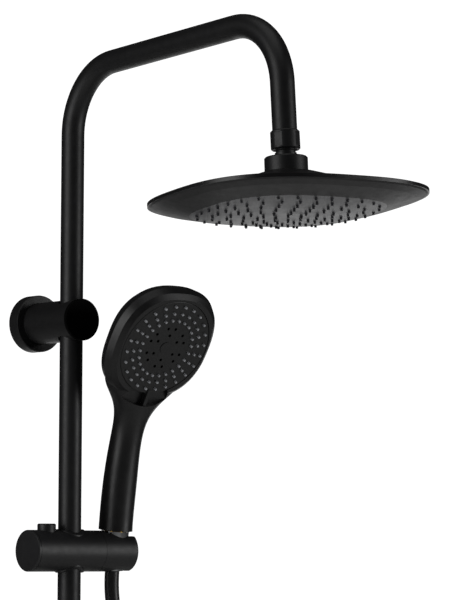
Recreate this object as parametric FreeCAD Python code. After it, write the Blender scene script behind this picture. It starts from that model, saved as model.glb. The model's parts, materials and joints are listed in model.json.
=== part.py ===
"""Rainfall shower column: riser rail, gooseneck arm, overhead rose, slider, handset and hose.

Millimetres. +Z is up, the wall is the plane y = 0, the room is on the -Y side, and the
origin is the middle of the upper wall flange.
"""
import FreeCAD
import Part

import math
import os

Vector = FreeCAD.Vector
Rotation = FreeCAD.Rotation
Placement = FreeCAD.Placement

os.makedirs("parts", exist_ok=True)

X = Vector(1, 0, 0)
Y = Vector(0, 1, 0)
Z = Vector(0, 0, 1)

# Driving dimensions: the column
rail_d = 22.0
rail_wall = 1.2
rail_offset = 63.5
column_drop = 850.0
arm_height = 239.5
arm_reach = 302.0
arm_rise_deg = 2.4
drop_lean_deg = 4.4
bend_radius_back = 64.0
bend_radius_front = 63.0
drop_length = 106.5

# Driving dimensions: brackets and flanges
bracket_d = 40.0
bracket_front = 18.0
flange_d = 55.0
flange_t = 13.2
plate_t = 4.0
plate_screw_pitch = 38.0
screw_shank_d = 4.0
screw_stand_out = 20.0
inlet_thread_d = 20.96
inlet_stand_out = 15.0

# Driving dimensions: the slider and its holder
slider_drop = 219.0
slider_d = 39.2
slider_left = 49.2
slider_seam = 30.1
holder_end = 68.3
holder_x = 53.0
holder_tilt_deg = 7.0
button_x = -27.0
button_d = 17.6
button_stand = 6.0
bush_d = 28.4
slot_w = 15.2
cone_top_r = 13.5
cone_bottom_r = 10.6
cone_top = 19.5
cone_bottom = -18.0

# Driving dimensions: the handset
handle_r = 16.4
waist_r = 15.2
handset_reach = 53.5
handset_rise = 199.4
face_down_deg = 24.6
face_r = 49.2
head_half = 58.5
head_power = 2.45
head_depth = 35.0
bezel_depth = 11.0
lever_end = 62.0
lever_depth = 4.5
lever_swing = 26.0
spray_rows = 24
spray_ring_r = (44.2, 36.8, 29.5)

# Driving dimensions: the overhead rose
rose_half = 114.2
rose_power = 2.7
rose_spin_deg = -10.8
rose_tip_deg = -1.1
rose_face_half = 80.0
rose_rim_drop = 49.2
rose_rise = 24.0
rose_boss_d = 38.3
ball_r = 11.2
liner_t = 0.7
neck_r = 9.7
stem_bore_r = 3.5
swivel_nut_d = 26.0
swivel_nut_h = 17.0
nut_drop = 117.0

# Driving dimensions: the hose, and the points it passes between its two nuts
hose_d = 14.0
hose_route = [
    (60.3, -60.3, -294), (70, -64.5, -356), (84, -70, -455), (97, -75, -594),
    (105, -78, -754), (109, -79, -920), (110, -78, -1065), (106, -77, -1155),
    (86, -75, -1203), (47, -73, -1234), (-3, -71, -1237), (-49, -69, -1217),
    (-80, -67, -1177), (-88, -66, -1122), (-70, -65, -1066), (-30, -64, -1014),
]

# Clearances
fit = 0.1
running = 0.08
apart = 0.3

rail_r = rail_d / 2
rail_bore_r = rail_r - rail_wall
rail_y = -rail_offset
slider_z = -slider_drop
lower_z = -column_drop
bracket_r = bracket_d / 2
slider_r = slider_d / 2
bush_r = bush_d / 2
thread_r = inlet_thread_d / 2
front_y = rail_y - bracket_front


def cylinder(radius, start, end):
    start = Vector(*start)
    run = Vector(*end) - start
    return Part.makeCylinder(radius, run.Length, start, run)


def tube(outer, inner, start, end):
    return cylinder(outer, start, end).cut(cylinder(inner, start, end))


def block(low, high):
    low = Vector(*low)
    size = Vector(*high) - low
    return Part.makeBox(size.x, size.y, size.z, low)


def turned(profile, place=None):
    """Turn a closed outline of (radius, height) points about Z, then put it in its place."""
    points = [Vector(r, 0, h) for r, h in profile]
    face = Part.Face(Part.makePolygon(points + points[:1]))
    solid = face.revolve(Vector(), Z, 360)
    if place:
        solid.Placement = place.multiply(solid.Placement)
    return solid


def moved(shape, place):
    shape = shape.copy()
    shape.Placement = place.multiply(shape.Placement)
    return shape


def lowered(shape, z):
    return moved(shape, Placement(Vector(0, 0, z), Rotation()))


def hex_prism(across_flats, start, end):
    start = Vector(*start)
    run = Vector(*end) - start
    turn = Rotation(Z, run)
    corner = across_flats / math.sqrt(3)
    ring = []
    for step in range(7):
        angle = math.radians(60 * step)
        spoke = Vector(corner * math.cos(angle), corner * math.sin(angle), 0)
        ring.append(start + turn.multVec(spoke))
    return Part.Face(Part.makePolygon(ring)).extrude(run)


def save(node, *shapes):
    solids = [solid for shape in shapes for solid in shape.Solids]
    for solid in solids:
        if not solid.isValid() or solid.Volume <= 0:
            print("CHECK", node, "solid is not valid")
    shape = solids[0] if len(solids) == 1 else Part.makeCompound(solids)
    shape.exportStep("parts/" + node + ".step")


def rounded_route(points, radii):
    """A wire of straight runs joined by tangent arcs, with one radius for each inner point."""
    edges = []
    start = points[0]
    for before, corner, after, radius in zip(points, points[1:], points[2:], radii):
        back = (before - corner).normalize()
        onward = (after - corner).normalize()
        half = (math.pi - back.getAngle(onward)) / 2
        reach = radius * math.tan(half)
        inward = (back + onward).normalize()
        centre = corner + inward * (radius / math.cos(half))
        arc_in = corner + back * reach
        arc_out = corner + onward * reach
        edges.append(Part.LineSegment(start, arc_in).toShape())
        edges.append(Part.Arc(arc_in, centre - inward * radius, arc_out).toShape())
        start = arc_out
    edges.append(Part.LineSegment(start, points[-1]).toShape())
    return Part.Wire(edges)


def swept(path, radius):
    start = path.Edges[0]
    direction = start.tangentAt(start.FirstParameter)
    circle = Part.Wire(Part.makeCircle(radius, start.Vertexes[0].Point, direction))
    return path.makePipeShell([circle], True, False)


def cord_radii(points):
    radii = []
    for before, corner, after in zip(points, points[1:], points[2:]):
        back = before - corner
        onward = after - corner
        half = (math.pi - back.getAngle(onward)) / 2
        radii.append(0.45 * min(back.Length, onward.Length) / math.tan(half))
    return radii


def squircle(half, power, z, count=24):
    """A closed rounded-square curve, half the width across its flats, at one height."""
    ring = []
    for step in range(count):
        angle = 2 * math.pi * step / count
        spread = abs(math.cos(angle)) ** power + abs(math.sin(angle)) ** power
        radius = half / spread ** (1 / power)
        ring.append(Vector(radius * math.cos(angle), radius * math.sin(angle), z))
    curve = Part.BSplineCurve()
    curve.interpolate(ring, PeriodicFlag=True)
    return Part.Wire(curve.toShape())


def stacked(levels, power):
    """A solid through rounded squares, given as (half width, height) from one end on."""
    wires = [squircle(half, power, z) for half, z in levels]
    return Part.makeLoft(wires, True, True)


# The wall side of the column

def wall_flange(z):
    outer = cylinder(flange_d / 2, (0, -flange_t, 0), (0, 0, 0))
    rim = [edge for edge in outer.Edges if abs(edge.BoundBox.YMax + flange_t) < 0.01]
    outer = outer.makeChamfer(0.8, [edge for edge in rim if edge.Closed][:1])
    hollow = cylinder(flange_d / 2 - 2, (0, -flange_t + 3, 0), (0, 0, 0))
    bore = cylinder(bracket_r + fit, (0, -flange_t - 1, 0), (0, 0, 0))
    return lowered(outer.cut(hollow).cut(bore), z)


def upper_bracket():
    boss_r = 14.8
    boss_end = -26.0
    plate = cylinder(bracket_r + 4, (0, -plate_t, 0), (0, 0, 0))
    boss = tube(boss_r, 7, (0, boss_end, 0), (0, -plate_t, 0))
    plate = plate.fuse(boss)
    shank = screw_shank_d / 2
    screws = []
    for side in (-1, 1):
        z = side * plate_screw_pitch / 2
        head = [(0, -plate_t + 0.3), (shank * 2, -plate_t + 0.3), (shank, 0)]
        profile = head + [(shank, screw_stand_out - 3), (0, screw_stand_out)]
        screw = turned(profile, Placement(Vector(0, 0, z), Rotation(X, -90)))
        plate = plate.cut(screw)
        drive = block((-0.5, -plate_t - 0.1, z - 2.5), (0.5, -plate_t + 1.2, z + 2.5))
        screws.append(screw.cut(drive))
    save("wall_plate", plate)
    save("wall_screws", *screws)
    save("flange_upper", wall_flange(0))

    arm = cylinder(bracket_r, (0, front_y + 3, 0), (0, -plate_t - 2, 0))
    arm = arm.cut(cylinder(boss_r + fit, (0, boss_end - 1, 0), (0, 0, 0)))
    liner_r = rail_r + 1.6
    arm = arm.cut(cylinder(liner_r, (0, rail_y, -bracket_r), (0, rail_y, bracket_r)))
    arm = arm.cut(cylinder(12, (0, front_y, 0), (0, front_y + 5.0, 0)))
    grub_y = -21.0
    grub_hole = cylinder(2.55, (0, grub_y, -bracket_r - 1), (0, grub_y, -boss_r))
    save("bracket_arm", arm.cut(grub_hole))
    grub = cylinder(2.5, (0, grub_y, -bracket_r + 0.6), (0, grub_y, -boss_r))
    socket = hex_prism(2.5, (0, grub_y, -bracket_r + 0.6), (0, grub_y, -bracket_r + 3))
    save("bracket_grub_screw", grub.cut(socket))

    disc = cylinder(bracket_r, (0, front_y, 0), (0, front_y + 3, 0))
    edge = [e for e in disc.Edges if e.Closed and abs(e.BoundBox.YMax - front_y) < 0.01]
    disc = disc.makeChamfer(0.6, edge)
    plug = cylinder(12 - fit, (0, front_y + 3, 0), (0, front_y + 4.5, 0))
    save("bracket_cap", disc.fuse(plug).removeSplitter())

    half = math.sqrt(bracket_r ** 2 - liner_r ** 2) - 0.3
    liner = tube(liner_r - 0.02, rail_r + 0.02, (0, rail_y, -half), (0, rail_y, half))
    save("rail_liner", liner)


def column_tubes():
    drop_lean = math.radians(drop_lean_deg)
    rise = math.radians(arm_rise_deg)
    back = Vector(0, rail_y, arm_height)
    front = back + Vector(0, -math.cos(rise), math.sin(rise)) * arm_reach
    end = front + Vector(0, -math.sin(drop_lean), -math.cos(drop_lean)) * drop_length
    route = [Vector(0, rail_y, 0.5), back, front, end]
    path = rounded_route(route, [bend_radius_back, bend_radius_front])
    save("gooseneck", swept(path, rail_r).cut(swept(path, rail_bore_r)))

    foot = lower_z + bracket_r + 6
    save("rail_lower", tube(rail_r, rail_bore_r, (0, rail_y, foot), (0, rail_y, -0.5)))

    spigot_r = rail_bore_r - fit
    length = 24.0
    profile = [(7, -length), (spigot_r - 1, -length), (spigot_r, -length + 1)]
    rings = []
    for z in (-12, 12):
        profile += [(spigot_r, z - 1.3), (spigot_r - 1.3, z - 1.3)]
        profile += [(spigot_r - 1.3, z + 1.3), (spigot_r, z + 1.3)]
        ring = [(spigot_r - 1.3, z - 1.2), (rail_bore_r, z - 0.8)]
        ring += [(rail_bore_r, z + 0.8), (spigot_r - 1.3, z + 1.2)]
        rings.append(turned(ring, Placement(Vector(0, rail_y, 0), Rotation())))
    profile += [(spigot_r, length - 1), (spigot_r - 1, length), (7, length)]
    save("rail_spigot", turned(profile, Placement(Vector(0, rail_y, 0), Rotation())))
    save("spigot_rings", *rings)
    return front, Vector(0, -math.sin(drop_lean), -math.cos(drop_lean))


# The foot of the column: water inlet, diverter and hose outlet

def lower_body():
    seat = bracket_r - 2
    body_front = front_y - 6
    body = cylinder(bracket_r, (0, body_front, 0), (0, -plate_t - 2, 0))
    for side in (-1, 1):
        low, high = sorted((side * seat, side * (bracket_r + 1)))
        body = body.cut(block((-17, rail_y - 15.5, low), (17, rail_y + 15.5, high)))
    cartridge_r = 14.0
    cartridge_back = rail_y + 11.5
    body = body.cut(cylinder(cartridge_r + fit, (0, body_front, 0), (0, cartridge_back, 0)))
    body = body.cut(cylinder(9 + fit, (0, -36, 0), (0, 0, 0)))
    body = body.cut(cylinder(5, (0, cartridge_back, 0), (0, -36, 0)))
    body = body.cut(cylinder(10.4 + fit, (0, rail_y, seat - 3.5), (0, rail_y, seat + 1)))
    body = body.cut(cylinder(8 + fit, (0, rail_y, -seat - 1), (0, rail_y, -seat + 3.5)))
    save("diverter_body", lowered(body, lower_z))

    cartridge = cylinder(cartridge_r, (0, body_front + 1, 0), (0, cartridge_back, 0))
    cartridge = cartridge.cut(cylinder(4 + running, (0, body_front, 0), (0, rail_y - 4, 0)))
    cartridge = cartridge.cut(cylinder(4.5, (0, rail_y + 3, -15), (0, rail_y + 3, 15)))
    cartridge = cartridge.cut(cylinder(4.5, (0, rail_y + 3, 0), (0, cartridge_back, 0)))
    save("diverter_cartridge", lowered(cartridge, lower_z))
    nut = cylinder(bracket_r - 1.4, (0, body_front - 4, 0), (0, body_front, 0))
    nut = nut.cut(cylinder(9, (0, body_front - 4, 0), (0, body_front, 0)))
    save("cartridge_nut", lowered(nut, lower_z))

    thread = cylinder(thread_r, (0, 0, 0), (0, inlet_stand_out, 0))
    collar = hex_prism(28, (0, -5.5, 0), (0, 0, 0))
    tail = cylinder(9, (0, -28, 0), (0, -5.5, 0))
    inlet = thread.fuse([collar, tail]).cut(cylinder(6, (0, -28, 0), (0, inlet_stand_out, 0)))
    save("inlet_union", lowered(inlet, lower_z))
    save("flange_lower", wall_flange(lower_z))
    return body_front


def diverter_knob(body_front):
    back = body_front - 4.5
    front = back - 25
    knob = cylinder(bracket_r - 0.5, (0, front, 0), (0, back, 0))
    edges = [e for e in knob.Edges if e.Closed and abs(e.BoundBox.YMax - front) < 0.01]
    knob = knob.makeFillet(1.2, edges)
    knob = knob.cut(cylinder(14, (0, back - 12, 0), (0, back, 0)))
    knob = knob.cut(cylinder(4, (0, front + 6, 0), (0, back, 0)))
    knob = knob.cut(cylinder(11, (0, front, 0), (0, front + 2, 0)))
    pin_y = front + 9
    pin_root = bracket_r - 5
    knob = knob.cut(cylinder(2.5, (pin_root, pin_y, 0), (bracket_r, pin_y, 0)))
    save("diverter_knob", lowered(knob, lower_z))
    pin = cylinder(2.5, (pin_root, pin_y, 0), (bracket_r + 1, pin_y, 0))
    grip = cylinder(3.4, (bracket_r + 1, pin_y, 0), (bracket_r + 17, pin_y, 0))
    tip = [e for e in grip.Edges if e.Closed and abs(e.BoundBox.XMin - bracket_r - 17) < 0.01]
    save("diverter_lever", lowered(pin.fuse(grip.makeFillet(1.5, tip)), lower_z))
    save("knob_cap", lowered(cylinder(11 - fit, (0, front, 0), (0, front + 1.6, 0)), lower_z))
    stem = cylinder(4, (0, front + 6, 0), (0, rail_y - 5, 0))
    save("diverter_stem", lowered(stem, lower_z))


def rail_foot():
    seat = lower_z + bracket_r - 2
    top = lower_z + bracket_r + 6
    spigot_r = rail_bore_r - fit
    at_rail = Placement(Vector(0, rail_y, 0), Rotation())
    adapter = [(7, seat - 3.5), (10.4, seat - 3.5), (10.4, seat), (13.8, seat)]
    adapter += [(13.8, top), (spigot_r, top), (spigot_r, top + 20), (7, top + 20)]
    save("rail_adapter", turned(adapter, at_rail))
    cover = [(14, seat), (15.4, seat), (15.4, top + 7), (14.6, top + 8)]
    cover += [(rail_r + fit, top + 8), (rail_r + fit, top + 0.2), (14, top + 0.2)]
    save("rail_collar", turned(cover, at_rail))


def hose_outlet():
    """The threaded outlet under the body and the lower hose nut; returns the hose's end."""
    seat = lower_z - bracket_r + 2
    at_rail = Placement(Vector(0, rail_y, 0), Rotation())
    nipple = [(5, seat + 3.5), (8, seat + 3.5), (8, seat), (13, seat), (13, seat - 4)]
    nipple += [(thread_r, seat - 4), (thread_r, seat - 15), (5, seat - 15)]
    save("outlet_nipple", turned(nipple, at_rail))
    top = seat - 5
    floor = seat - 17
    tail = floor - 12
    nut = hex_prism(24.5, (0, rail_y, top - 13), (0, rail_y, top - 3))
    nut = nut.fuse(cylinder(12, (0, rail_y, floor - 3), (0, rail_y, top)))
    nut = nut.fuse(cylinder(hose_d / 2 + 1.4, (0, rail_y, tail), (0, rail_y, floor - 3)))
    nut = nut.cut(cylinder(thread_r + fit, (0, rail_y, floor), (0, rail_y, top)))
    nut = nut.cut(cylinder(4, (0, rail_y, tail), (0, rail_y, floor)))
    save("hose_nut_lower", nut)
    save("hose_washer_lower", tube(9.5, 5, (0, rail_y, floor), (0, rail_y, seat - 15.1)))
    return Vector(0, rail_y, tail)


# The slider

slider_at = Placement(Vector(0, rail_y, slider_z), Rotation())


def slider():
    seam = slider_seam
    cap_x = -slider_left + 3
    body = cylinder(slider_r, (cap_x, 0, 0), (seam, 0, 0))
    cavity_r = 13.0
    cavity_end = -bush_r - 2
    body = body.cut(cylinder(cavity_r, (cap_x, 0, 0), (cavity_end, 0, 0)))
    body = body.cut(cylinder(bush_r, (0, 0, -slider_r - 1), (0, 0, slider_r + 1)))
    body = body.cut(cylinder(5 + fit, (cavity_end - 1, 0, 0), (0, 0, 0)))
    well = cylinder(button_d / 2 + apart, (button_x, 0, 6), (button_x, 0, slider_r + 1))
    body = body.cut(well)
    body = body.cut(cylinder(4, (bush_r - 4, 0, 0), (seam, 0, 0)))
    save("slider_body", moved(body, slider_at))

    cap = cylinder(slider_r, (-slider_left, 0, 0), (cap_x - 0.4, 0, 0))
    edge = [e for e in cap.Edges if e.Closed and abs(e.BoundBox.XMax + slider_left) < 0.01]
    cap = cap.makeChamfer(0.7, edge)
    cap = cap.fuse(cylinder(slider_r - 0.6, (cap_x - 0.4, 0, 0), (cap_x, 0, 0)))
    cap = cap.fuse(tube(cavity_r - fit, cavity_r - 2, (cap_x, 0, 0), (cap_x + 4, 0, 0)))
    save("slider_end_cap", moved(cap, slider_at))

    lip_r = slider_r + 1.0
    bush = cylinder(bush_r, (0, 0, -lip_r), (0, 0, lip_r))
    bush = bush.common(cylinder(lip_r, (-bush_r, 0, 0), (bush_r, 0, 0)))
    bush = bush.cut(cylinder(rail_r + apart, (0, 0, -lip_r), (0, 0, lip_r)))
    bush = bush.cut(cylinder(5 + fit, (-bush_r - 1, 0, 0), (0, 0, 0)))
    save("rail_bush", moved(bush, slider_at))

    pad_x = button_x + 9
    tail_x = button_x - 9
    pad = cylinder(5, (pad_x, 0, 0), (-rail_r + 4, 0, 0))
    pad = pad.cut(cylinder(rail_r + apart, (0, 0, -6), (0, 0, 6)))
    pad = pad.fuse(block((tail_x, -6, -4), (pad_x + 1, 6, 4)))
    pad = pad.cut(block((button_x - 3.4, -3.4, -5), (button_x + 5.2, 3.4, 5)))
    save("brake_pad", moved(pad, slider_at))

    crest = slider_r + button_stand
    button = cylinder(button_d / 2, (button_x, 0, cavity_r - 1), (button_x, 0, crest))
    top = [e for e in button.Edges if e.Closed and abs(e.BoundBox.ZMin - crest) < 0.01]
    button = button.makeFillet(1.4, top)
    stem = cylinder(3, (button_x, 0, -7), (button_x, 0, cavity_r - 1))
    save("release_button", moved(button.fuse(stem), slider_at))

    spring = tube(4.9, 3.9, (button_x, 0, 4.6), (button_x, 0, cavity_r - 1.6))
    save("button_spring", moved(spring, slider_at))

    bolt = cylinder(4, (bush_r + 1, 0, 0), (seam, 0, 0))
    bolt = bolt.fuse(cylinder(4 - running, (seam, 0, 0), (seam + 5.2, 0, 0)))
    bolt = bolt.fuse(cylinder(6, (seam + 5.2, 0, 0), (seam + 7.6, 0, 0)))
    bolt = bolt.cut(hex_prism(5, (seam + 5.6, 0, 0), (seam + 7.6, 0, 0)))
    save("holder_bolt", moved(bolt, slider_at))
    washer = tube(12, 4.3, (seam, 0, 0), (seam + 1.3, 0, 0))
    save("friction_washer", moved(washer, slider_at))


hand_at = Placement(Vector(holder_x, rail_y, slider_z), Rotation(X, holder_tilt_deg))


def holder():
    left = slider_seam + apart - holder_x
    right = holder_end - holder_x
    seam = slider_seam - holder_x
    body = cylinder(slider_r, (left, 0, 0), (right, 0, 0))
    end = [e for e in body.Edges if e.Closed and abs(e.BoundBox.XMin - right) < 0.01]
    body = body.makeFillet(1.0, end)
    slope = (cone_top_r - cone_bottom_r) / (cone_top - cone_bottom)
    reach = slider_r + 1
    top_r = cone_top_r + apart + slope * (reach - cone_top)
    low_r = cone_bottom_r + apart - slope * (cone_bottom + reach)
    body = body.cut(Part.makeCone(low_r, top_r, 2 * reach, Vector(0, 0, -reach)))
    half = slot_w / 2
    body = body.cut(block((0, -half, -reach), (right + 1, half, reach)))
    body = body.cut(block((4, -reach, slider_r - 4.2), (right + 1, reach, reach)))
    body = body.cut(cylinder(4, (left - 1, 0, 0), (0, 0, 0)))
    body = body.cut(cylinder(6.4, (seam + 5.0, 0, 0), (0, 0, 0)))
    body = body.cut(cylinder(12.2, (left, 0, 0), (seam + 1.6, 0, 0)))
    save("handset_holder", moved(body, hand_at))


# The handset: upright about the holder's cone, then tilted with it

face_at = Placement(Vector(0, -handset_reach, handset_rise), Rotation(X, 90 + face_down_deg))


def cone_nut():
    """The hose's cone nut, and the handset's chromed inlet that screws into it."""
    floor = 5.0
    nut = [(4, cone_bottom), (cone_bottom_r, cone_bottom), (cone_top_r, cone_top)]
    nut += [(10.45 + running, cone_top), (10.45 + running, floor), (4, floor)]
    save("hose_cone_nut", turned(nut, hand_at))
    save("hose_washer_upper", turned([(5, floor), (10.2, floor), (10.2, floor + 1.6),
                                      (5, floor + 1.6)], hand_at))
    base = cone_top + 0.8
    inlet = [(6, floor + 2), (10.45, floor + 2), (10.45, base), (11.5, base), (11.5, base + 18)]
    inlet += [(6, base + 18)]
    save("handset_inlet", turned(inlet, hand_at))
    restrictor = turned([(1.5, floor + 3), (5.9, floor + 3), (5.9, floor + 7),
                         (1.5, floor + 7)], hand_at)
    save("flow_restrictor", restrictor)


def handle_loft():
    """The grip, through ellipses set across its gently curved middle line."""
    base = cone_top + 0.8
    reach = handset_reach
    rise = handset_rise
    stations = [(0, base, 0, handle_r, handle_r), (0, base + 27, 0, handle_r, handle_r)]
    stations.append((-0.03 * reach, 0.40 * rise, 3, handle_r - 0.4, handle_r - 0.4))
    stations.append((-0.10 * reach, 0.56 * rise, 9, waist_r, waist_r))
    stations.append((-0.20 * reach, 0.67 * rise, 16, waist_r + 4, waist_r - 0.4))
    stations.append((-0.33 * reach, 0.77 * rise, 23, waist_r + 19, waist_r + 0.3))
    stations.append((-0.52 * reach, 0.88 * rise, 24, waist_r + 31, waist_r - 0.7))
    wires = []
    for y, z, lean, wide, deep in stations:
        circle = Part.Wire(Part.Ellipse(Vector(), wide, min(deep, wide - 0.01)).toShape())
        circle.Placement = Placement(Vector(0, y, z), Rotation(X, lean))
        wires.append(circle)
    return Part.makeLoft(wires, True, False)


def head_levels():
    """Rounded squares from the face's plane back, as (half width, distance in front)."""
    rim = head_half
    depth = head_depth
    front = face_r + apart + 1.6
    levels = [(front, 0), ((front + rim) / 2 + 1, -0.36 * bezel_depth), (rim, -bezel_depth)]
    levels += [(rim - 1.5, -0.52 * depth), (rim - 8, -0.74 * depth)]
    levels += [(rim - 21, -0.91 * depth), (rim - 38, -depth)]
    return levels


def handset():
    levels = head_levels()
    front = moved(stacked(levels[:3], head_power), face_at)
    back = moved(stacked(levels[2:], head_power), face_at)
    grip = handle_loft()
    base = cone_top + 0.8
    split = Placement(Vector(0, 0, base + 32), Rotation(X, 9))
    below = moved(block((-30, -30, -60), (30, 30, 0)), split)
    sleeve = grip.common(below)
    grip = grip.cut(below)
    inlet_bore = cylinder(11.5 + 0.02, (0, 0, base - 1), (0, 0, base + 18))
    channel = cylinder(7, (0, 0, base + 18), (0, 0, base + 40))
    save("handle_sleeve", moved(sleeve.cut(inlet_bore).cut(channel), hand_at))

    notch = cylinder(lever_end + 0.6, (0, 0, -lever_depth - 0.4), (0, 0, 3))
    for side in (-1, 1):
        half_plane = block((-90, 0, -8), (90, 90, 4))
        turn = Placement(Vector(), Rotation(Z, side * (90 - lever_swing)))
        notch = notch.cut(moved(half_plane, turn))
    pocket_depth = 0.6 * head_depth
    pocket = cylinder(face_r - 2, (0, 0, -pocket_depth), (0, 0, 3))
    pocket = pocket.fuse(cylinder(face_r + apart, (0, 0, -7.3), (0, 0, 3))).fuse(notch)
    shell = back.fuse(grip).cut(front).cut(moved(pocket, face_at)).cut(channel)
    save("handset_shell", moved(shell, hand_at))

    opening = cylinder(face_r + apart, (0, 0, -bezel_depth - 1), (0, 0, 1))
    bezel = stacked(levels[:3], head_power).cut(opening).cut(notch)
    save("handset_bezel", moved(moved(bezel, face_at), hand_at))

    carrier = cylinder(face_r - 2 - fit, (0, 0, -pocket_depth), (0, 0, -9.4))
    carrier = carrier.cut(cylinder(face_r - 6, (0, 0, -pocket_depth + 3), (0, 0, -9.4)))
    carrier = carrier.fuse(cylinder(6, (0, 0, -pocket_depth), (0, 0, -9.4)))
    carrier = carrier.cut(cylinder(2 + running, (0, 0, -pocket_depth - 1), (0, 0, -9)))
    save("spray_distributor", moved(moved(carrier, face_at), hand_at))


def spray_face():
    plate = cylinder(face_r, (0, 0, -4.5), (0, 0, 0))
    edge = [e for e in plate.Edges if e.Closed and abs(e.BoundBox.ZMin) < 0.01]
    plate = plate.makeFillet(0.8, edge)
    holes = []
    nozzles = []
    for radius in spray_ring_r:
        for row in range(spray_rows):
            angle = math.radians(360 * (row + 0.5) / spray_rows)
            x = radius * math.cos(angle)
            y = radius * math.sin(angle)
            holes.append(cylinder(1.5, (x, y, -5), (x, y, 1)))
            nozzles.append(Part.makeCone(1.45, 1.1, 7.0, Vector(x, y, -4.8)))
    jets = []
    for group in range(6):
        middle = math.radians(60 * group + 30)
        for radius, offset in ((20.5, -0.21), (20.5, 0.21), (13.0, 0.0)):
            x = radius * math.cos(middle + offset)
            y = radius * math.sin(middle + offset)
            jets.append(cylinder(1.5, (x, y, -20), (x, y, 1)))
    plate = plate.cut(holes + jets).cut(cylinder(5.8, (0, 0, -2.5), (0, 0, 1)))
    plate = plate.cut(cylinder(2, (0, 0, -5), (0, 0, 0)))
    fin = block((-1.7, -lever_end, -lever_depth), (1.7, -face_r + 4, 1.2))
    save("spray_face", moved(moved(plate.fuse(fin), face_at), hand_at))
    mat = cylinder(face_r - 2.4, (0, 0, -7.0), (0, 0, -4.7))
    mat = mat.cut(jets).cut(cylinder(2, (0, 0, -8), (0, 0, -4)))
    save("spray_nozzles", moved(moved(mat.fuse(nozzles), face_at), hand_at))
    cap = cylinder(5.7, (0, 0, -2.4), (0, 0, 0.5))
    cap = cap.fuse(cylinder(2 - 0.02, (0, 0, -0.5 * head_depth), (0, 0, -2.4)))
    save("spray_cap", moved(moved(cap, face_at), hand_at))


# The overhead rose, built about the middle of its ball with +Z up its stem

def rose_face_height(radius):
    """Height of the domed face plate's underside at a distance from its middle."""
    return -rose_rim_drop - 15.5 + 5.5 * (radius / rose_face_half) ** 2


def rose_top(inset):
    half = rose_half - inset
    rim = -rose_rim_drop
    levels = [(half, rim - 0.5), (half, rim + 2.6 - inset), (half - 3, rim + 3.6 - inset)]
    levels += [(0.78 * rose_half - inset, rim + 0.31 * rose_rise - inset)]
    levels += [(0.47 * rose_half - inset, rim + 0.58 * rose_rise - inset)]
    return levels + [(rose_boss_d / 2 + 4 - inset, rim + rose_rise - inset)]


def rose(place):
    rim = -rose_rim_drop
    power = rose_power
    top = stacked(rose_top(0), power).cut(stacked([(rose_half - 2.6, rim - 1)] +
                                                  rose_top(2.6)[1:], power))
    bore = cylinder(10, (0, 0, rim - 2), (0, 0, 0))
    save("rose_shell", moved(top.cut(bore), place))

    face = rose_face_half
    under = [(rose_half - 1.2, rim - 0.5), (rose_half - 2.6, rim - 1.6)]
    under += [(0.9 * rose_half, rim - 4.5), (face + apart, rim - 10)]
    inner = [(rose_half - 6, rim - 0.5), (0.88 * rose_half, rim - 2.5)]
    inner += [(face + apart, rim - 7.6)]
    ring = stacked(under, power).cut(stacked(inner, power))
    ring = ring.cut(stacked([(face + apart - 0.2, rim - 20), (face + apart - 0.2, rim)], power))
    save("rose_ring", moved(ring, place))

    plate_top = rim - 7.2
    steps = [face, 0.9 * face, 0.72 * face, 0.5 * face, 0.25 * face]
    levels = [(face, plate_top)] + [(r, rose_face_height(r)) for r in steps]
    plate = stacked(levels, power)
    holes = []
    nozzles = []
    for ring_number, count in enumerate((6, 11, 16, 21, 26, 30)):
        share = 0.93 * (ring_number + 1) / 6
        for step in range(count):
            angle = 2 * math.pi * (step + 0.5 * (ring_number % 2)) / count
            spread = abs(math.cos(angle)) ** power + abs(math.sin(angle)) ** power
            radius = share * face / spread ** (1 / power)
            x = radius * math.cos(angle)
            y = radius * math.sin(angle)
            z = rose_face_height(min(radius, face))
            holes.append(cylinder(1.6, (x, y, z - 3), (x, y, plate_top + 1)))
            nozzles.append(Part.makeCone(1.55, 1.1, plate_top - z + 3.0,
                                         Vector(x, y, plate_top + 0.5), Vector(0, 0, -1)))
    save("rose_face", moved(plate.cut(holes), place))
    mat = stacked([(0.96 * face, plate_top), (0.96 * face, plate_top + 1.6)], power)
    save("rose_nozzles", moved(mat.fuse(nozzles), place))

    deck = stacked([(0.98 * face, plate_top + 1.6), (0.98 * face, plate_top + 4.2)], power)
    hub = cylinder(24, (0, 0, plate_top + 4.2), (0, 0, rim + 12))
    deck = deck.fuse(hub).cut(cylinder(20, (0, 0, plate_top + 3.4), (0, 0, rim + 12)))
    save("rose_distributor", moved(deck, place))
    screws = []
    for step in range(6):
        angle = math.radians(60 * step + 30)
        x = 0.84 * face * math.cos(angle)
        y = 0.84 * face * math.sin(angle)
        foot = plate_top + 4.2
        screw = cylinder(3.2, (x, y, foot), (x, y, foot + 2.2))
        screws.append(screw.cut(hex_prism(2.6, (x, y, foot + 1), (x, y, foot + 2.3))))
    save("rose_screws", *[moved(screw, place) for screw in screws])

    boss_top = -11.0
    boss_low = rim + rose_rise
    boss_r = rose_boss_d / 2
    boss = [(neck_r, boss_low), (boss_r, boss_low), (boss_r, boss_top - 1)]
    boss += [(boss_r - 1, boss_top), (neck_r, boss_top)]
    save("rose_boss", moved(turned(boss), place))
    core_r = ball_r - liner_t
    waist_r = neck_r - 1.1
    stem = [(stem_bore_r, rim + 8), (neck_r, rim + 8), (neck_r, -7.4), (waist_r, -6.9)]
    low = -math.degrees(math.acos(waist_r / core_r))
    for angle in arc_steps(low, 50, 12):
        stem.append((core_r * math.cos(angle), core_r * math.sin(angle)))
    stem.append((stem_bore_r, stem[-1][1]))
    save("ball_stem", moved(turned(stem), place))


def arc_steps(start_deg, end_deg, count):
    step = (end_deg - start_deg) / count
    return [math.radians(start_deg + step * index) for index in range(count + 1)]


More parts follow.
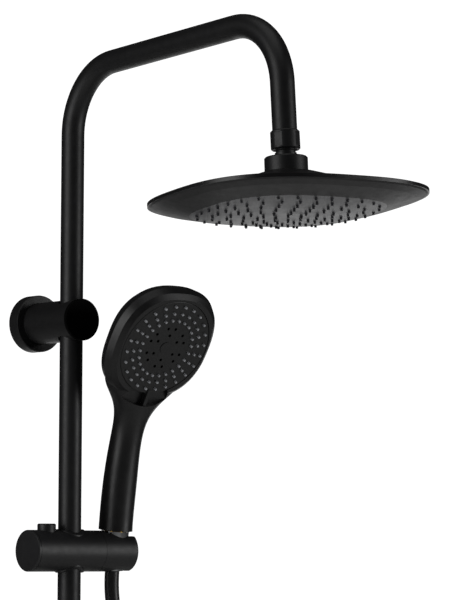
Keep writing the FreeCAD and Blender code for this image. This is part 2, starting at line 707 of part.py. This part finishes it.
def swivel(axis_up):
    """The ball's nut on the end of the arm, the insert, the washer and the ball's liner."""
    nut_r = swivel_nut_d / 2
    low = -4.5
    high = low + swivel_nut_h
    tube_end = nut_drop - drop_length
    cavity = ball_r + running
    nut = cylinder(nut_r, (0, 0, low), (0, 0, high))
    nut = nut.makeChamfer(1.0, [edge for edge in nut.Edges if edge.Curve.TypeId.endswith("Circle")])
    nut = nut.cut(Part.makeSphere(cavity))
    nut = nut.cut(cylinder(cavity, (0, 0, 0), (0, 0, tube_end - 0.1)))
    nut = nut.cut(cylinder(rail_r + 0.02, (0, 0, 0), (0, 0, high)))
    flat = block((-nut_r, nut_r - 0.5, low + 2.5), (nut_r, nut_r + 1, high - 2.5))
    for quarter in range(4):
        nut = nut.cut(moved(flat, Placement(Vector(), Rotation(Z, 90 * quarter + 20))))
    save("swivel_nut", moved(nut, axis_up))
    insert = tube(rail_bore_r - fit, 6, (0, 0, tube_end), (0, 0, tube_end + 18))
    save("arm_insert", moved(insert, axis_up))
    washer = tube(ball_r, 8.9, (0, 0, 7.7), (0, 0, tube_end - 0.2))
    save("swivel_washer", moved(washer, axis_up))
    inner = ball_r - liner_t + 0.06
    liner = [(inner * math.cos(a), inner * math.sin(a)) for a in arc_steps(-22, 35, 10)]
    liner += [(ball_r * math.cos(a), ball_r * math.sin(a)) for a in arc_steps(35, -22, 10)]
    save("ball_liner", moved(turned(liner), axis_up))


# The hose

def hose(lower_end):
    """The route: the cone nut's end, a hanging loop, and back up into the lower nut."""
    points = [hand_at.multVec(Vector(0, 0, cone_bottom - h)) for h in (0, 20)]
    for x, y, z in hose_route:
        points.append(Vector(x, y, z))
    points += [lower_end + Vector(0, 0, -55), lower_end]
    radii = cord_radii(points)
    print("hose radii", [round(radius) for radius in radii])
    path = rounded_route(points, radii)
    whole = swept(path, hose_d / 2)
    area = math.pi * (hose_d / 2) ** 2
    print("hose length", round(path.Length), "volume share", whole.Volume / (area * path.Length))
    print("route", [[round(value, 1) for value in point] for point in points])
    stretches = [path.Edges[:5], path.Edges[5:8], path.Edges[8:]]
    for node, edges in zip(("hose_top", "hose_middle", "hose_loop"), stretches):
        save(node, swept(Part.Wire(edges), hose_d / 2))


upper_bracket()
corner, down = column_tubes()
ball_place = Placement(corner + down * nut_drop, Rotation(X, -drop_lean_deg))
rose_turn = Rotation(X, -drop_lean_deg - rose_tip_deg).multiply(Rotation(Z, rose_spin_deg))
swivel(ball_place)
rose(Placement(ball_place.Base, rose_turn))
body_front = lower_body()
diverter_knob(body_front)
rail_foot()
slider()
holder()
cone_nut()
handset()
spray_face()
hose(hose_outlet())
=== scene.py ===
"""Rain shower column: looks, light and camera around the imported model. Metres, +Z up."""
import json
import math

import bmesh
import bpy
from mathutils import Matrix, Vector


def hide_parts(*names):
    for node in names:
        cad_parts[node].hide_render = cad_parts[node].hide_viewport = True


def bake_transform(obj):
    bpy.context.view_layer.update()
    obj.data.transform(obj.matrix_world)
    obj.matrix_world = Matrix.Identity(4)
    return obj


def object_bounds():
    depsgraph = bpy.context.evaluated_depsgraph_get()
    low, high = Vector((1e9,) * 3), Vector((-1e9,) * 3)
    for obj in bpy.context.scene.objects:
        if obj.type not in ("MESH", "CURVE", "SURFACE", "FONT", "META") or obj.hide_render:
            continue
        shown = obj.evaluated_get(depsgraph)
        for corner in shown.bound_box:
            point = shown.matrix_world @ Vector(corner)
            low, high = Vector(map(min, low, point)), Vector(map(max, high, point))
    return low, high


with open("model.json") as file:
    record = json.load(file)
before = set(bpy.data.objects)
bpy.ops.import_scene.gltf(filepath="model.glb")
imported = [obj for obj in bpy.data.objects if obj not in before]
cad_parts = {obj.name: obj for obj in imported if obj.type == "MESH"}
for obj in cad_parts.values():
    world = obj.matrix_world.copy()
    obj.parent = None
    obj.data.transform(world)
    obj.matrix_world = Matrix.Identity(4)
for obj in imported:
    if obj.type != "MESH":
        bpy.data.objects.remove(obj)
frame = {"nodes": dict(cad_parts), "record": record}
cad_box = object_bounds()

MM = 0.001


# Shader tools

def linear(hex_colour):
    """An sRGB hex colour as linear red, green, blue and alpha."""
    channels = [int(hex_colour[i:i + 2], 16) / 255 for i in (1, 3, 5)]
    low = [c / 12.92 if c <= 0.04045 else ((c + 0.055) / 1.055) ** 2.4 for c in channels]
    return (*low, 1.0)


def add(tree, kind, settings, inputs):
    """Adds a node, sets its settings, and gives each input a value or a link."""
    made = tree.nodes.new(kind)
    for name, value in settings.items():
        setattr(made, name, value)
    for name, value in inputs.items():
        if isinstance(value, bpy.types.NodeSocket):
            tree.links.new(value, made.inputs[name])
        else:
            made.inputs[name].default_value = value
    return made


def finish_shader(name, constants):
    """A material with one principled shader, its constants set, and its surface place."""
    material = bpy.data.materials.new(name)
    material.use_nodes = True
    tree = material.node_tree
    tree.nodes.clear()
    shader = add(tree, "ShaderNodeBsdfPrincipled", {}, constants)
    add(tree, "ShaderNodeOutputMaterial", {}, {"Surface": shader.outputs[0]})
    place = add(tree, "ShaderNodeTexCoord", {}, {})
    return material, tree, shader, place.outputs["Object"]


def spread(tree, value, low, high):
    """Stretches a pattern's 0.3 to 0.7 over low to high."""
    ranged = add(tree, "ShaderNodeMapRange", {}, {0: value, 1: 0.3, 2: 0.7, 3: low, 4: high})
    return ranged.outputs[0]


def mottled(tree, place, size_mm, detail=3.0):
    """A soft noise whose patches are about size_mm across."""
    noise = add(tree, "ShaderNodeTexNoise", {}, {
        "Vector": place, "Scale": 1 / (size_mm * MM), "Detail": detail, "Roughness": 0.55,
    })
    return noise.outputs[0]


def two_tone(tree, shader, factor, first, second):
    """Mixes two hex colours by a factor into the base colour."""
    mix = add(tree, "ShaderNodeMix", {"data_type": "RGBA"}, {
        0: factor, 6: linear(first), 7: linear(second),
    })
    tree.links.new(mix.outputs[2], shader.inputs["Base Color"])


def relief(tree, shader, height, depth_mm, strength):
    """A bump of that depth on the shader's normal."""
    bump = add(tree, "ShaderNodeBump", {}, {
        "Height": height, "Distance": depth_mm * MM, "Strength": strength,
    })
    tree.links.new(bump.outputs[0], shader.inputs["Normal"])


# Materials

def powder_coat(name, dark, light, rough, gloss=0.5):
    """Powder-coated metal, baked: a matt film with a faint orange peel and soft sheen."""
    material, tree, shader, place = finish_shader(name, {
        "IOR": 1.5, "Specular IOR Level": gloss,
    })
    film = mottled(tree, place, 24.0)
    two_tone(tree, shader, spread(tree, film, 0.0, 1.0), dark, light)
    dulled = spread(tree, mottled(tree, place, 7.0), rough - 0.035, rough + 0.035)
    tree.links.new(dulled, shader.inputs["Roughness"])
    # The peel of the baked film is 1 mm across, and is drawn at 1.2 mm.
    relief(tree, shader, mottled(tree, place, 1.2, 2.0), 0.05, 0.35)
    return material


def moulded_abs(name, dark, light, rough, grain_mm=0.5):
    """Moulded ABS from a spark-eroded tool: even fine grain, a broad dull sheen."""
    material, tree, shader, place = finish_shader(name, {"IOR": 1.54})
    flow = mottled(tree, place, 30.0)
    two_tone(tree, shader, spread(tree, flow, 0.0, 1.0), dark, light)
    handled = spread(tree, mottled(tree, place, 9.0), rough - 0.04, rough + 0.04)
    tree.links.new(handled, shader.inputs["Roughness"])
    # The tool's grain is 0.1 mm, drawn at half a millimetre so that it shows.
    relief(tree, shader, mottled(tree, place, grain_mm, 2.0), 0.02, 0.4)
    return material


def silicone(name, dark, light):
    """Cast silicone rubber: a little see-through at the skin, dusty in its hollows."""
    material, tree, shader, place = finish_shader(name, {
        "IOR": 1.41, "Sheen Weight": 0.15, "Sheen Roughness": 0.5,
    })
    two_tone(tree, shader, spread(tree, mottled(tree, place, 3.0), 0.0, 1.0), dark, light)
    dusty = spread(tree, mottled(tree, place, 1.5), 0.42, 0.55)
    tree.links.new(dusty, shader.inputs["Roughness"])
    relief(tree, shader, mottled(tree, place, 0.6), 0.02, 0.3)
    return material


def chromed_brass():
    """Chrome plate on polished brass: mirror bright, with faint polishing waves."""
    material, tree, shader, place = finish_shader("chrome_plated_brass", {"Metallic": 1.0})
    two_tone(tree, shader, spread(tree, mottled(tree, place, 6.0), 0.0, 1.0),
             "#d9dcdf", "#e9eaeb")
    wiped = spread(tree, mottled(tree, place, 2.5), 0.05, 0.11)
    tree.links.new(wiped, shader.inputs["Roughness"])
    relief(tree, shader, mottled(tree, place, 4.0), 0.02, 0.25)
    return material


def turned_metal(name, dark, light, rough, feed_mm, axis):
    """Metal turned on a lathe: fine feed rings across its axis."""
    material, tree, shader, place = finish_shader(name, {"Metallic": 1.0})
    rings = add(tree, "ShaderNodeTexWave", {"bands_direction": axis}, {
        "Vector": place, "Scale": 1 / (feed_mm * MM * 2 * math.pi), "Distortion": 1.2,
        "Detail": 2.0,
    })
    two_tone(tree, shader, spread(tree, mottled(tree, place, 5.0), 0.0, 1.0), dark, light)
    ringed = spread(tree, rings.outputs[1], rough - 0.05, rough + 0.07)
    tree.links.new(ringed, shader.inputs["Roughness"])
    relief(tree, shader, rings.outputs[1], 0.02, 0.4)
    return material


def nylon():
    """Natural nylon, moulded: milky, waxy, with pale flow clouds."""
    material, tree, shader, place = finish_shader("moulded_nylon", {
        "IOR": 1.53, "Subsurface Weight": 0.15, "Subsurface Scale": 0.002,
    })
    two_tone(tree, shader, spread(tree, mottled(tree, place, 8.0), 0.0, 1.0),
             "#d9d5c9", "#e8e5db")
    waxy = spread(tree, mottled(tree, place, 3.0), 0.36, 0.46)
    tree.links.new(waxy, shader.inputs["Roughness"])
    relief(tree, shader, mottled(tree, place, 1.0), 0.02, 0.25)
    return material


def hose_pvc():
    """Extruded PVC over a braid: smooth skin, soft gloss, a faint weave beneath."""
    material, tree, shader, place = finish_shader("extruded_black_pvc", {
        "IOR": 1.53, "Coat Weight": 0.2, "Coat Roughness": 0.2,
    })
    two_tone(tree, shader, spread(tree, mottled(tree, place, 20.0), 0.0, 1.0),
             "#19191b", "#202023")
    skin = spread(tree, mottled(tree, place, 6.0), 0.36, 0.44)
    tree.links.new(skin, shader.inputs["Roughness"])
    # The braid under the skin shows every 2 mm as a shallow ripple.
    relief(tree, shader, mottled(tree, place, 2.0, 1.0), 0.04, 0.25)
    return material


def floor_paint():
    """Matt wall paint on the studio floor: pale, even, faintly rolled."""
    material, tree, shader, place = finish_shader("matt_white_paint", {"IOR": 1.45})
    two_tone(tree, shader, spread(tree, mottled(tree, place, 400.0), 0.0, 1.0),
             "#f4f4f3", "#f8f8f7")
    rolled = spread(tree, mottled(tree, place, 60.0), 0.82, 0.9)
    tree.links.new(rolled, shader.inputs["Roughness"])
    return material


FINISHES = {
    "column_coat": powder_coat("powder_coated_brass_tube", "#111112", "#161618", 0.45),
    "bracket_coat": powder_coat("powder_coated_zinc_barrel", "#0e0e0f", "#131314", 0.46),
    # The cap is the bracket's zinc powder coat with painted shade: its colour is darkened to
    # near-black and its gloss is cut, standing in for the shade its front faces sit in.
    "cap_coat_painted_shade": powder_coat("powder_coated_zinc_cap_painted_shade", "#030303", "#050505", 0.5, 0.06),
    "slider_abs": moulded_abs("moulded_abs_slider", "#171718", "#1c1c1e", 0.46),
    "handset_abs": moulded_abs("moulded_abs_handset", "#0f0f10", "#141415", 0.4),
    "rose_abs": moulded_abs("moulded_abs_rose", "#131314", "#181819", 0.34),
    "ring_abs": moulded_abs("moulded_abs_ring", "#1c1c1d", "#212122", 0.46),
    "face_abs": moulded_abs("moulded_grey_abs_plate", "#48484b", "#505053", 0.4),
    "light_silicone": silicone("cast_grey_silicone", "#a9abb0", "#c2c4c8"),
    "dark_silicone": silicone("cast_dark_silicone", "#26262a", "#34343a"),
    "chrome": chromed_brass(),
    "brass": turned_metal("turned_brass", "#b8924a", "#c9a55c", 0.24, 0.35, "Z"),
    "steel": turned_metal("turned_stainless_steel", "#8e8f91", "#a3a4a6", 0.3, 0.3, "Y"),
    "seal": moulded_abs("moulded_epdm_rubber", "#0d0d0d", "#141414", 0.62),
    "nylon": nylon(),
    "hose": hose_pvc(),
}
BY_SLOT = {
    "black_metal": "column_coat", "black_plastic": "slider_abs", "face_grey": "face_abs",
    "nozzle_light": "light_silicone", "nozzle_dark": "dark_silicone", "chrome": "chrome",
    "brass": "brass", "steel": "steel", "seal": "seal", "nylon": "nylon", "hose_black": "hose",
}
BY_NODE = {
    "flange_upper": "bracket_coat", "bracket_arm": "bracket_coat", "bracket_cap": "cap_coat_painted_shade",
    "handset_shell": "handset_abs", "handset_bezel": "handset_abs",
    "handle_sleeve": "handset_abs", "spray_face": "handset_abs", "spray_cap": "handset_abs",
    "rose_shell": "rose_abs", "rose_ring": "ring_abs",
}


def coat_cad_nodes():
    """Gives every carried-over node the finish of its slot, or its own."""
    for subpart in frame["record"]["subparts"]:
        node = frame["nodes"][subpart["node"]]
        finish = BY_NODE.get(subpart["node"], BY_SLOT[subpart["material_slot"]])
        node.data.materials.clear()
        node.data.materials.append(FINISHES[finish])


def made_piece(name, shape, finish):
    """Turns a bmesh into a named piece with a finish."""
    mesh = bpy.data.meshes.new(name)
    shape.to_mesh(mesh)
    shape.free()
    piece = bpy.data.objects.new(name, mesh)
    bpy.context.scene.collection.objects.link(piece)
    mesh.materials.append(FINISHES[finish])
    return piece


# The hose

HOSE_D = 14 * MM
HOSE_ROUTE = [
    (53, -61.3, -236.9), (53, -58.9, -256.7), (60.3, -60.3, -294), (70, -64.5, -356),
    (84, -70, -455), (97, -75, -594), (105, -78, -754), (109, -79, -920), (110, -78, -1065),
    (106, -77, -1155), (86, -75, -1203), (47, -73, -1234), (-3, -71, -1237),
    (-49, -69, -1217), (-80, -67, -1177), (-88, -66, -1122), (-70, -65, -1066),
    (-30, -64, -1014), (0, -63.5, -952), (0, -63.5, -897),
]
HOSE_SIDES = 28
TOP_ENDS_Z = -328
MIDDLE_ENDS_Z = -500


def hose_line():
    """The smooth line on the hose's route, as points a few millimetres apart."""
    curve = bpy.data.curves.new("hose_line", "CURVE")
    curve.dimensions = "3D"
    curve.resolution_u = 16
    spline = curve.splines.new("NURBS")
    spline.points.add(len(HOSE_ROUTE) - 1)
    for control, point in zip(spline.points, HOSE_ROUTE):
        control.co = (*(value * MM for value in point), 1.0)
    spline.order_u = 3
    spline.use_endpoint_u = True
    carrier = bpy.data.objects.new("hose_line", curve)
    line = bpy.data.meshes.new_from_object(carrier)
    points = [vertex.co.copy() for vertex in line.vertices]
    bpy.data.objects.remove(carrier)
    return points


def hose_frames(points):
    """A side direction at each point of a line, turned no more than the line turns."""
    side = Vector((0, -1, 0))
    frames = []
    for index, point in enumerate(points):
        after = points[min(index + 1, len(points) - 1)]
        before = points[max(index - 1, 0)]
        along = (after - before).normalized()
        side = (side - along * side.dot(along)).normalized()
        frames.append((point, side, along.cross(side)))
    return frames


def hose_stretch(name, frames, first, last):
    """One stretch of hose as a closed tube, from one index of the line to another."""
    tube = bmesh.new()
    rings = []
    for point, side, other in frames[first:last + 1]:
        ring = []
        for step in range(HOSE_SIDES):
            angle = math.tau * step / HOSE_SIDES
            out = side * math.cos(angle) + other * math.sin(angle)
            ring.append(tube.verts.new(point + out * HOSE_D / 2))
        rings.append(ring)
    for low, high in zip(rings, rings[1:]):
        for step in range(HOSE_SIDES):
            after = (step + 1) % HOSE_SIDES
            tube.faces.new((low[step], low[after], high[after], high[step])).smooth = True
    tube.faces.new(rings[0][::-1])
    tube.faces.new(rings[-1])
    bmesh.ops.recalc_face_normals(tube, faces=tube.faces)
    piece = made_piece(name, tube, "hose")
    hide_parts(name)
    return piece


def hose():
    """The hose in three stretches, split where its line passes two heights."""
    points = hose_line()
    frames = hose_frames(points)
    top_end = next(i for i, p in enumerate(points) if p.z < TOP_ENDS_Z * MM)
    middle_end = next(i for i, p in enumerate(points) if p.z < MIDDLE_ENDS_Z * MM)
    top = hose_stretch("hose_top", frames, 0, top_end)
    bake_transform(top)
    middle = hose_stretch("hose_middle", frames, top_end, middle_end)
    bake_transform(middle)
    loop = hose_stretch("hose_loop", frames, middle_end, len(points) - 1)
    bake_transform(loop)


# Camera, floor and light

CAMERA_PLACE = (-1.6128, -2.2269, -0.2192)
CAMERA_YAW_DEG = -39.818
CAMERA_LIFT_DEG = 95.08
CAMERA_ROLL_DEG = 0.216
LENS_MM = 169.89
SENSOR_MM = 36


def camera():
    """Looks up a little at the column from the room's left."""
    lens = bpy.data.cameras.new("camera")
    lens.lens = LENS_MM
    lens.sensor_width = SENSOR_MM
    lens.clip_end = 50
    seat = bpy.data.objects.new("camera", lens)
    turn = Matrix.Rotation(math.radians(CAMERA_YAW_DEG), 4, "Z")
    lift = Matrix.Rotation(math.radians(CAMERA_LIFT_DEG), 4, "X")
    roll = Matrix.Rotation(math.radians(CAMERA_ROLL_DEG), 4, "Z")
    place = Matrix.Translation(CAMERA_PLACE)
    seat.matrix_world = place @ turn @ lift @ roll
    bpy.context.scene.collection.objects.link(seat)
    bpy.context.scene.camera = seat


def softbox(name, place, target, wide, tall, watts):
    """A large soft light aimed at a point, not seen itself."""
    lamp = bpy.data.lights.new(name, "AREA")
    lamp.shape = "RECTANGLE"
    lamp.size = wide
    lamp.size_y = tall
    lamp.energy = watts
    stand = bpy.data.objects.new(name, lamp)
    aim = Vector(target) - Vector(place)
    stand.rotation_mode = "QUATERNION"
    stand.rotation_quaternion = aim.to_track_quat("-Z", "Y")
    stand.location = place
    stand.visible_camera = False
    bpy.context.scene.collection.objects.link(stand)


FLOOR_HALF = 14
FLOOR_GAP = 0.05


def studio():
    """A pale floor, a white surround that lights little, and four soft lights."""
    mesh = bpy.data.meshes.new("floor")
    paper = bmesh.new()
    bmesh.ops.create_grid(paper, x_segments=12, y_segments=12, size=FLOOR_HALF)
    paper.to_mesh(mesh)
    paper.free()
    floor = bpy.data.objects.new("floor", mesh)
    floor.location.z = cad_box[0][2] - FLOOR_GAP
    mesh.materials.append(floor_paint())
    bpy.context.scene.collection.objects.link(floor)

    world = bpy.data.worlds.new("surround")
    world.use_nodes = True
    tree = world.node_tree
    tree.nodes.clear()
    ray = add(tree, "ShaderNodeLightPath", {}, {})
    seen = add(tree, "ShaderNodeBackground", {}, {"Color": (1, 1, 1, 1), "Strength": 1.1})
    lit = add(tree, "ShaderNodeBackground", {}, {"Color": (1, 1, 1, 1), "Strength": 0.03})
    both = add(tree, "ShaderNodeMixShader", {}, {
        0: ray.outputs["Is Camera Ray"], 1: lit.outputs[0], 2: seen.outputs[0],
    })
    add(tree, "ShaderNodeOutputWorld", {}, {"Surface": both.outputs[0]})
    bpy.context.scene.world = world

    middle = (0, -0.15, -0.1)
    softbox("left_light", (-2.1, 0.0, 0.2), middle, 1.3, 2.0, 17)
    softbox("right_light", (1.6, -2.3, 0.0), middle, 1.1, 1.6, 17)
    softbox("top_light", (-0.4, -0.6, 2.0), middle, 1.8, 1.8, 7)
    softbox("back_light", (1.7, 1.7, -0.55), (0, -0.37, 0.1), 2.2, 1.1, 7)
    bpy.context.scene.view_settings.view_transform = "Standard"


coat_cad_nodes()
camera()
studio()
hose()
